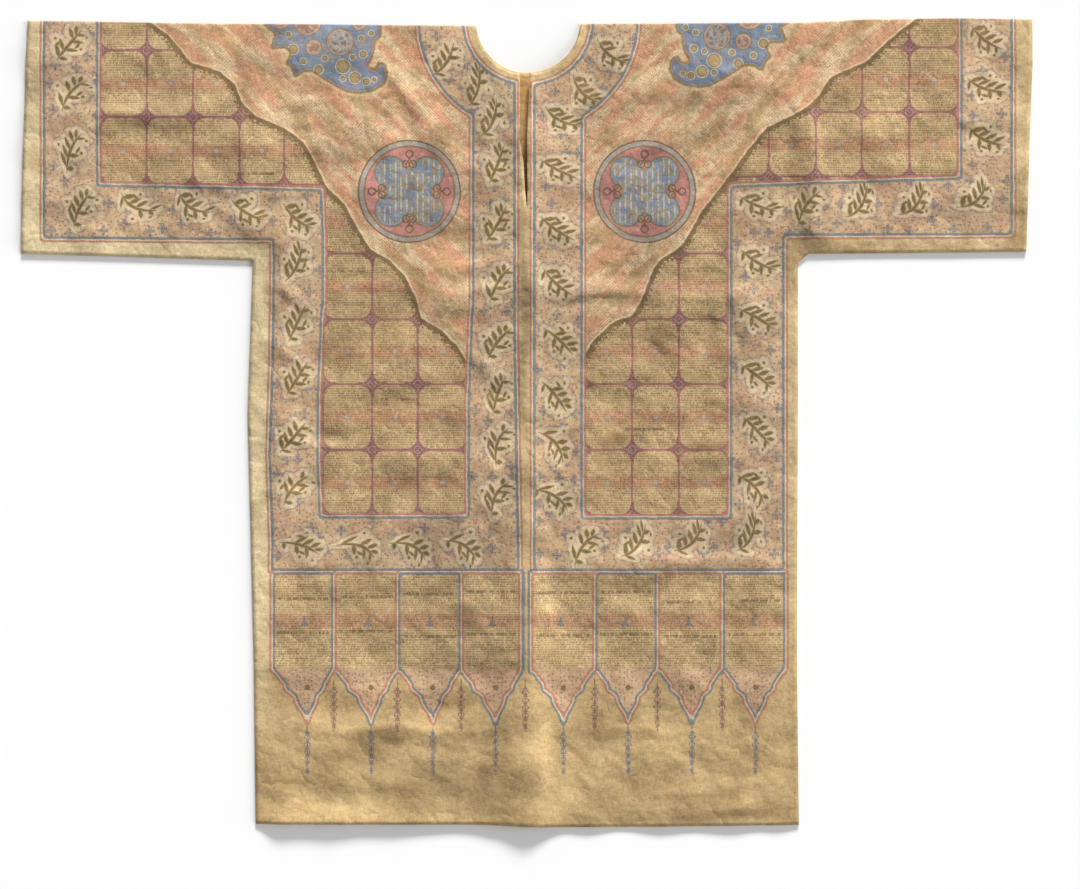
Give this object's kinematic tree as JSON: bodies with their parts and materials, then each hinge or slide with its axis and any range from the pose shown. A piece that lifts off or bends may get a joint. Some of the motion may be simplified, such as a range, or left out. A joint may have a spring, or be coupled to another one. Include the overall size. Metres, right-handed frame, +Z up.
{
  "type": "talismanic shirt",
  "caption": "T-shaped cotton shirt with half sleeves, round neck and front slit, laid flat with soft storage folds, its front painted with framed panels, medallions and cusped arches.",
  "frame": {"origin": "centre of the shirt's bounding box on the surface that its back lies on", "axes": "+X along the sleeves to the wearer's left cuff, +Y from the hem to the shoulders, +Z up out of the painted front"},
  "size_m": [1, 0.7999, 0.0077],
  "materials": {
    "painted_cotton": "starched and burnished cotton, painted in ink, colours and gold",
    "back_cotton": "starched cotton, painted like the front"
  },
  "bodies": {
    "root": {"front": "painted_cotton", "back": "back_cotton"}
  },
  "joints": []
}
